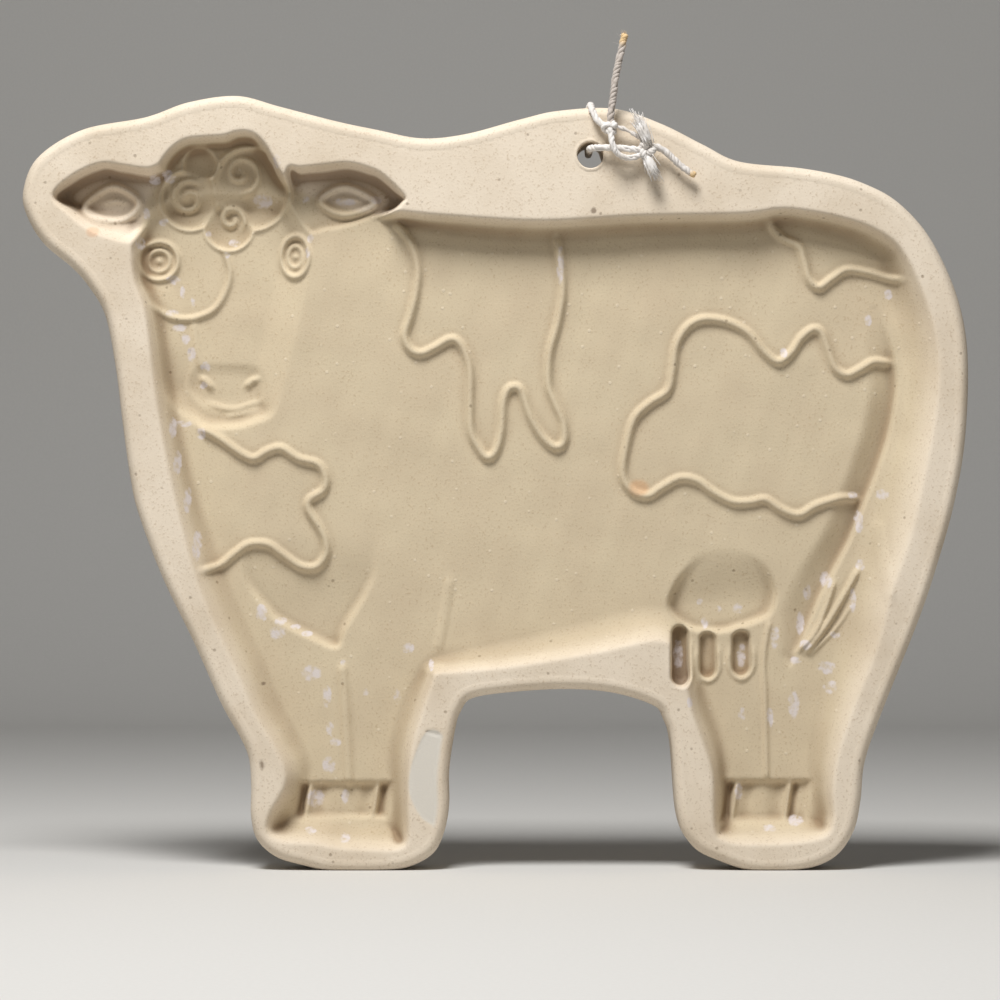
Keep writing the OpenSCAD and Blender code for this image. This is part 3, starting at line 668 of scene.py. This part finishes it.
def head_relief(depth, body):
    """The head: face, ears, curls, eyes and muzzle."""
    within = np.clip(body / 5, 0, 1)
    depth = depth + hollow(FACE, 2.8, 0.5, 1.3) * within
    ears = np.maximum(hollow(LEFT_EAR, 8.6), hollow(RIGHT_EAR, 8.8))
    depth = blended_max(depth, ears, 0.5)
    bowls = np.zeros(X.shape)
    nearest = np.full(X.shape, -9.0)
    for x, z, rx, rz, low in CURLS:
        inner = 1 - ((X - x) / rx) ** 2 - ((Z - z) / rz) ** 2
        bowls = np.maximum(bowls, low * np.sqrt(np.clip(inner, 0, 1)))
        nearest = np.maximum(nearest, inner)
    depth = depth + (bowls - 0.9 * np.exp(-(nearest / 0.15) ** 2)) * within
    for s in SPIRALS:
        depth = depth - bead(spiral(*s), 1.7, 1.2)
    depth = depth + hollow(MUZZLE, 0.6, 0.4)
    for nostril in ([[-70.2, 116.4], [-68.9, 115.4], [-67.5, 113.8]],
                    [[-59.4, 113.9], [-58.2, 115.2], [-56.7, 116]]):
        depth = depth - bead(nostril, 1.9, 0.9, fade=1)
    for mouth in ([[-68.2, 110.3], [-65.2, 109.2], [-62, 108.8], [-58.2, 109.9], [-55.9, 110.7]],
                  [[-64.4, 106.8], [-59, 107.9], [-55.9, 109]]):
        depth = depth - bead(mouth, 1.7, 0.45)
    for x, z, rx, rz, in_x, in_z in EYES:
        depth = depth - 1.1 * ring_of(x, z, rx, rz, 1.6)
        depth = depth - 0.9 * ring_of(x, z, in_x, in_z, 1.3)
        depth = depth - 0.8 * np.clip(1 - (np.hypot(X - x, Z - z) / 0.9) ** 2, 0, 1)
        depth = depth + 0.7 * np.clip(1 - ((X - x) / rx) ** 2 - ((Z - z) / rz) ** 2, 0, 1)
    depth = depth - bead(EYE_PATCH, 1.8, 0.9)
    for almond in (LEFT_ALMOND, RIGHT_ALMOND):
        depth = depth - bead(almond, 2.1, 1.5, closed=True)
    for pupil in ([[-93, 157.4], [-90, 158.2], [-87.5, 157.6]], [[-38, 158.2], [-35, 158.6], [-32, 158]]):
        depth = depth - bead(pupil, 1.6, 0.6)
    return depth


def leg_relief(depth):
    """The chest, the udder with its teats, the tail and the hooves."""
    depth = depth + hollow(CHEST, 2.3, 0.3, 1.6) * ramp(Z, 80, 56)
    depth = depth + fold(TAIL_EDGE)
    depth = depth + hollow(UDDER, 2.8, 0.5, 1.8) * ramp(Z, 76.5, 62)
    for x, top, bottom, r in TEATS:
        q = np.hypot(X - x, Z - np.clip(Z, bottom, top)) / r
        depth = blended_max(depth, 9.9 * (1 - ramp(q, 0.6, 1.15)), 0.8)
        rim = [[x - r, top - 2], [x - r, bottom], [x, bottom - r], [x + r, bottom], [x + r, top - 2]]
        depth = depth - bead(rim, 1.5, 0.6)
    for width, height, line in HAIRS + CREASES:
        depth = depth - bead(line, width, height)
    for left, right, bottom, top, slots in HOOVES:
        lean = 0.15 * (Z - (bottom + top) / 2)
        q = np.minimum(np.minimum(X - lean - left, right - X + lean), np.minimum(Z - bottom, top - Z))
        depth = depth + 1.3 * ramp(q, -0.9, 1.3)
        tall = ramp(Z, bottom - 0.5, bottom + 1.5) * ramp(Z, top + 0.5, top - 1.5)
        for x, away in zip(slots, (1.4, -1.4)):
            depth = depth + 1.3 * tall * np.exp(-((X - lean - x) / 0.75) ** 2)
            depth = depth - 1.2 * tall * np.exp(-((X - lean - x - away) / 0.6) ** 2)
            depth = depth + 0.6 * tall * np.exp(-((X - lean - x - 3 * away) / 1.6) ** 2)
    return depth


def relief():
    """Depth below the rim at each lattice point, and the masks that the stoneware is coloured by, one of
    them painted shade in deep corners.
    """
    body = hollow(BODY, BODY_DEPTH, 0.7)
    depth = leg_relief(head_relief(body, body))
    for line in (NECK, MIDDLE, RIGHT, RUMP):
        depth = depth - bead(line, 2.3, 1.4)
    depth = depth + np.clip(body / 5, 0, 1) * (0.12 * waves(22, 3) + 0.05 * waves(7, 4))
    patch = np.zeros(X.shape)
    near = Near([on_face(*p) for p in PATCH], 2, closed=True)
    patch[near.box] = ramp(near.inside(), -0.2, 0.3)
    crack = np.zeros(X.shape)
    near = Near([on_face(*p) for p in CRACK], 1)
    crack[near.box] = np.clip(1 - near.distance / 0.45, 0, 1)
    depth = np.maximum(blurred(depth, 0.3), 0) + 0.25 * crack + 0.15 * patch
    # How far each point lies below its surroundings, which darkens deep corners as painted shade
    crevice = depth - blurred(depth, 2.2)
    return depth, {"hollowed": np.clip(body / 6, 0, 1), "crevice": crevice,
                   "residue": spots(RESIDUE), "stain": spots(STAINS), "patch": patch,
                   "dark": np.maximum(spots(DARK_SPOTS), crack)}


# The mould's mesh: two sizes of lattice cell on the face, rings round the edge, and the back

def face_sheet(keep, depth):
    """Cells of the face where keep is above zero, fine where the relief is lively.

    Returns the points in the plane, the depth lookup, the faces and the edge loops."""
    curved = np.abs(blurred(depth, 0.3) - blurred(depth, 1.0))
    slope = np.hypot(*np.gradient(depth, PITCH))
    lively = (curved > 0.016) | (slope > 0.9)
    rows, cols = X.shape[0] // 2, X.shape[1] // 2
    corner = keep[0::2, 0::2] > 0
    whole = corner[:-1, :-1] & corner[1:, :-1] & corner[:-1, 1:] & corner[1:, 1:]
    touched = corner[:-1, :-1] | corner[1:, :-1] | corner[:-1, 1:] | corner[1:, 1:]
    fine = np.zeros((rows, cols), bool)
    for dj in (0, 1, 2):
        for di in (0, 1, 2):
            fine |= lively[dj:dj + 2 * rows:2, di:di + 2 * cols:2]
    fine &= whole
    numbers, points, faces, after = {}, [], [], {}

    def point(key, place):
        if key not in numbers:
            numbers[key] = len(points)
            points.append(place)
        return numbers[key]

    def at(j, i):
        return point((j, i), (COLS[i], ROWS[j], j, i))

    def between(j, i, m, n):
        """The place on a cell's side where keep is zero."""
        key = (min(j, m), min(i, n), max(j, m), max(i, n))
        t = keep[j, i] / (keep[j, i] - keep[m, n])
        return point(key, (COLS[i] + t * (COLS[n] - COLS[i]), ROWS[j] + t * (ROWS[m] - ROWS[j]),
                           j + t * (m - j), i + t * (n - i)))

    for cj in range(rows):
        for ci in range(cols):
            j, i = 2 * cj, 2 * ci
            if fine[cj, ci]:
                for a, b in ((j, i), (j, i + 1), (j + 1, i), (j + 1, i + 1)):
                    faces.append([at(a, b), at(a, b + 1), at(a + 1, b + 1), at(a + 1, b)])
            elif touched[cj, ci]:
                round_cell = ((j, i, cj - 1, ci, j, i + 1), (j, i + 2, cj, ci + 1, j + 1, i + 2),
                              (j + 2, i + 2, cj + 1, ci, j + 2, i + 1), (j + 2, i, cj, ci - 1, j + 1, i))
                face, cuts = [], []
                for k, (a, b, nj, ni, mj, mi) in enumerate(round_cell):
                    c, d = round_cell[(k + 1) % 4][:2]
                    here, there = keep[a, b] > 0, keep[c, d] > 0
                    if here:
                        face.append(at(a, b))
                    if here != there:
                        cuts.append(between(a, b, c, d))
                        face.append(cuts[-1])
                        if here:
                            leaves = cuts[-1]
                        else:
                            enters = cuts[-1]
                    elif here and 0 <= nj < rows and 0 <= ni < cols and fine[nj, ni]:
                        face.append(at(mj, mi))
                if len(face) > 2:
                    faces.append(face)
                if cuts:
                    after[leaves] = enters
    loops = []
    while after:
        start = next(iter(after))
        loop = [start]
        while True:
            following = after.pop(loop[-1])
            if following == start:
                break
            loop.append(following)
        loops.append(loop)
    return np.array(points), faces, sorted(loops, key=len, reverse=True)


def sampled(values, j, i):
    """Lattice values at places between its points."""
    j0, i0 = np.minimum(j.astype(int), values.shape[0] - 2), np.minimum(i.astype(int), values.shape[1] - 2)
    u, v = j - j0, i - i0
    return ((1 - u) * (1 - v) * values[j0, i0] + (1 - u) * v * values[j0, i0 + 1]
            + u * (1 - v) * values[j0 + 1, i0] + u * v * values[j0 + 1, i0 + 1])


def feet(line, places):
    """The nearest place on a closed line to each of the places."""
    tree = KDTree(len(line))
    for k, p in enumerate(line):
        tree.insert((p[0], p[1], 0), k)
    tree.balance()
    found = np.array([tree.find((x, z, 0))[1] for x, z in places])
    before, here, after = (line[(found + k) % len(line), :2] for k in (-1, 0, 1))
    out, least = here, np.full(len(places), np.inf)
    for a, b in ((before, here), (here, after)):
        t = ((places - a) * (b - a)).sum(1) / ((b - a) ** 2).sum(1)
        on_side = a + np.clip(t, 0, 1)[:, None] * (b - a)
        distance = np.linalg.norm(places - on_side, axis=1)
        out = np.where((distance < least)[:, None], on_side, out)
        least = np.minimum(least, distance)
    return out


def make_mould(material):
    """The stoneware slab: relief on the face, round edges, hanging hole and plain back."""
    near = Near(OUTLINE, 4, closed=True)
    edge = np.full(X.shape, -9.0)
    edge[near.box] = near.inside()
    lip = 0.7
    hole = np.hypot(X - HOLE_AT[0], Z - HOLE_AT[1]) - HOLE_R - lip
    keep = np.minimum(edge - FRONT_ROUND, hole)
    depth, masks = relief()
    sheet, faces, loops = face_sheet(keep, depth)
    shape = Shape()
    j, i = sheet[:, 2], sheet[:, 3]
    shape.points = list(np.stack([sheet[:, 0], FACE_Y + sampled(depth, j, i), sheet[:, 1]], 1))
    shape.faces = faces
    shape.values = {name: list(sampled(v, j, i)) for name, v in masks.items()}

    def ring(previous, places):
        """Joins a new ring of places to the previous one, and gives its numbers."""
        start, n = len(shape.points), len(previous)
        shape.points.extend(places)
        for name in shape.values:
            shape.values[name].extend([0] * n)
        for k in range(n):
            m = (k + 1) % n
            shape.faces.append([previous[m], previous[k], start + k, start + m])
        return [start + k for k in range(n)]

    outer, inner = loops[0], loops[1]
    base = np.array([shape.points[k] for k in outer])
    away = feet(near.line, base[:, [0, 2]]) - base[:, [0, 2]]
    away /= np.linalg.norm(away, axis=1, keepdims=True)
    edge_point = base[:, [0, 2]] + away * FRONT_ROUND
    current = outer
    profile = [(FRONT_ROUND * (1 - math.sin(t)), FACE_Y + FRONT_ROUND * (1 - math.cos(t)))
               for t in np.radians([18, 36, 54, 72, 90])]
    profile += [(0, 0)]
    profile += [(BACK_ROUND * (1 - math.cos(t)), BACK_Y - BACK_ROUND * (1 - math.sin(t)))
                for t in np.radians([0, 30, 60, 90])]
    for inset, y in profile:
        flat = edge_point - away * inset
        places = np.stack([flat[:, 0], np.full(len(flat), y), np.maximum(flat[:, 1], 0)], 1)
        current = ring(current, places)
    outer_back = current
    base = np.array([shape.points[k] for k in inner])
    turn = np.arctan2(base[:, 2] - HOLE_AT[1], base[:, 0] - HOLE_AT[0])
    current = inner
    profile = [(lip * (1 - math.sin(t)), FACE_Y + lip * (1 - math.cos(t)))
               for t in np.radians([30, 60, 90])]
    profile += [(0, -4), (0, 0), (0, 4)]
    profile += [(lip * (1 - math.cos(t)), BACK_Y - lip * (1 - math.sin(t)))
                for t in np.radians([0, 30, 60, 90])]
    for outset, y in profile:
        r = HOLE_R + outset
        places = np.stack([HOLE_AT[0] + r * np.cos(turn), np.full(len(turn), y),
                           HOLE_AT[1] + r * np.sin(turn)], 1)
        current = ring(current, places)
    make_back(shape, outer_back, current)
    shape.build("mould", material, ["mould_body"])


def make_back(shape, outer, inner):
    """Fills the flat back between its edge and the hole."""
    rim = [(shape.points[k][0], shape.points[k][2]) for k in outer + inner]
    loop = list(range(len(outer)))
    hole = [len(outer) + k for k in range(len(inner))]
    near = Near([[p[0], p[1]] for p in rim[:len(outer):4]], 0.5, closed=True, step=4)
    room = np.full(X.shape, -9.0)
    room[near.box] = near.inside()
    grid = [(COLS[i], ROWS[j]) for j in range(0, len(ROWS), 8) for i in range(0, len(COLS), 8)
            if room[j, i] > 1.6 and math.dist((COLS[i], ROWS[j]), HOLE_AT) > HOLE_R + 2.4]
    edges = [(k, (k + 1) % len(loop)) for k in loop]
    edges += [(hole[k], hole[(k + 1) % len(hole)]) for k in range(len(hole))]
    flat = [Vector(p) for p in rim + grid]
    out = delaunay_2d_cdt(flat, edges, [], 1, 1e-5)
    made, triangles, source = out[0], out[2], out[3]
    numbers = []
    for place, origin in zip(made, source):
        if origin and origin[0] < len(rim):
            numbers.append((outer + inner)[origin[0]])
        else:
            numbers.append(len(shape.points))
            shape.points.append((place[0], BACK_Y, place[1]))
            for values in shape.values.values():
                values.append(0)
    for t in triangles:
        middle = sum((made[k] for k in t), Vector((0, 0))) / len(t)
        if math.dist(middle, HOLE_AT) < HOLE_R:
            continue
        a, b, c = (made[k] for k in t)
        clockwise = (b - a).cross(c - a) < 0
        order = t if clockwise else t[::-1]
        shape.faces.append([numbers[k] for k in order])


def buff_stoneware():
    """Unglazed buff stoneware, pressed and fired: dry and matt, sandy specks, a few pinholes, and painted
    shade in its deep corners.
    """
    material, tree, shader = new_material("buff_stoneware_bisque")
    place = add(tree, "TexCoord").outputs["Object"]

    def value(name):
        return add(tree, "Attribute", attribute_name=name).outputs["Fac"]

    def ranged(socket, low, high, top):
        """0 where the value is low, rising to the top where it is high."""
        return add(tree, "MapRange", {"Value": socket, 1: low, 2: high, 3: 0, 4: top}).outputs[0]

    def mixed(share, under, over):
        return add(tree, "Mix", {0: share, 6: under, 7: tint(over)}, data_type="RGBA").outputs[2]

    def noise(scale, detail):
        return add(tree, "TexNoise", {"Vector": place, "Scale": scale, "Detail": detail}).outputs["Fac"]

    colour = mixed(value("hollowed"), tint("#E2D4C0"), "#CFBFA2")
    # Clouds of fired colour, about 15 mm across
    colour = mixed(ranged(noise(65, 4), 0.4, 0.7, 0.4), colour, "#C0AD92")
    # Grog is 0.1 to 0.3 mm, drawn at 0.5 mm so that it shows
    grog = noise(1900, 2)
    colour = mixed(ranged(grog, 0.57, 0.72, 0.35), colour, "#A08563")
    # Sand grains and pinholes, 0.3 mm, one in a few square millimetres
    cells = add(tree, "TexVoronoi", {"Vector": place, "Scale": 330})
    near_grain = ranged(cells.outputs["Distance"], 0.16, 0.08, 1)
    lucky = ranged(cells.outputs["Color"], 0.62, 0.64, 1)
    unlucky = ranged(cells.outputs["Color"], 0.33, 0.31, 1)
    grain = add(tree, "Math", {0: near_grain, 1: lucky}, operation="MULTIPLY").outputs[0]
    pinhole = add(tree, "Math", {0: near_grain, 1: unlucky}, operation="MULTIPLY").outputs[0]
    colour = mixed(ranged(grain, 0, 1, 0.25), colour, "#F0E4D0")
    colour = mixed(ranged(pinhole, 0, 1, 0.45), colour, "#6B553C")
    # Deep corners darkened brown: painted shade
    colour = mixed(ranged(value("crevice"), 0.1, 1.2, 0.7), colour, "#7A5D3E")
    colour = mixed(ranged(value("stain"), 0.1, 0.9, 0.35), colour, "#D2935A")
    colour = mixed(ranged(value("dark"), 0.1, 0.8, 0.7), colour, "#6A5643")
    colour = mixed(value("patch"), colour, "#D6D0C5")
    # Dried flour, torn at its edges in flakes of about a millimetre and a half
    torn = add(tree, "Math", {0: value("residue"), 1: noise(650, 6)}, operation="MULTIPLY").outputs[0]
    colour = mixed(ranged(torn, 0.34, 0.56, 0.75), colour, "#D9D1D2")
    tree.links.new(colour, shader.inputs["Base Color"])
    raised = add(tree, "Math", {0: grog, 1: grain}, operation="ADD").outputs[0]
    height = add(tree, "Math", {0: raised, 1: pinhole}, operation="SUBTRACT").outputs[0]
    bump = add(tree, "Bump", {"Height": height, "Distance": 0.0001, "Strength": 0.6})
    tree.links.new(bump.outputs[0], shader.inputs["Normal"])
    shader.inputs["Roughness"].default_value = 0.9
    shader.inputs["IOR"].default_value = 1.5
    return material


def pale_card():
    """Matt pale card under and behind the mould."""
    material, tree, shader = new_material("matt_pale_card")
    place = add(tree, "TexCoord").outputs["Object"]
    tooth = add(tree, "TexNoise", {"Vector": place, "Scale": 900, "Detail": 2}).outputs["Fac"]
    shade = add(tree, "Mix", {0: tooth, 6: tint("#D2D0CC"), 7: tint("#CCCAC6")}, data_type="RGBA")
    tree.links.new(shade.outputs[2], shader.inputs["Base Color"])
    shader.inputs["Roughness"].default_value = 0.95
    return material


def make_stage():
    """A floor that sweeps up into a backdrop."""
    bend = [(-2500, 0)]
    bend += [(800 + 200 * math.sin(t), 200 - 200 * math.cos(t)) for t in np.radians(range(0, 91, 6))]
    bend += [(1000, 1600)]
    sweep = bpy.data.meshes.new("sweep")
    points = [(x * MM, y * MM, z * MM) for y, z in bend for x in (-1600, 1600)]
    faces = [[2 * k, 2 * k + 1, 2 * k + 3, 2 * k + 2] for k in range(len(bend) - 1)]
    sweep.from_pydata(points, [], faces)
    sweep.polygons.foreach_set("use_smooth", [True] * len(faces))
    sweep.materials.append(pale_card())
    floor = bpy.data.objects.new("sweep", sweep)
    bpy.context.scene.collection.objects.link(floor)


def make_light():
    """Soft light from above, as in the photograph, over a plain weak world."""
    place_lamp("top_softbox", (-120, -400, 790), 300, 8.6)
    world = bpy.data.worlds.new("studio")
    world.use_nodes = True
    background = world.node_tree.nodes["Background"]
    background.inputs["Color"].default_value = tint("#FFFFFF")
    background.inputs["Strength"].default_value = 0.1
    bpy.context.scene.world = world


place_camera()
make_string()
make_mould(buff_stoneware())
make_stage()
make_light()
bpy.context.scene.view_settings.view_transform = "Standard"
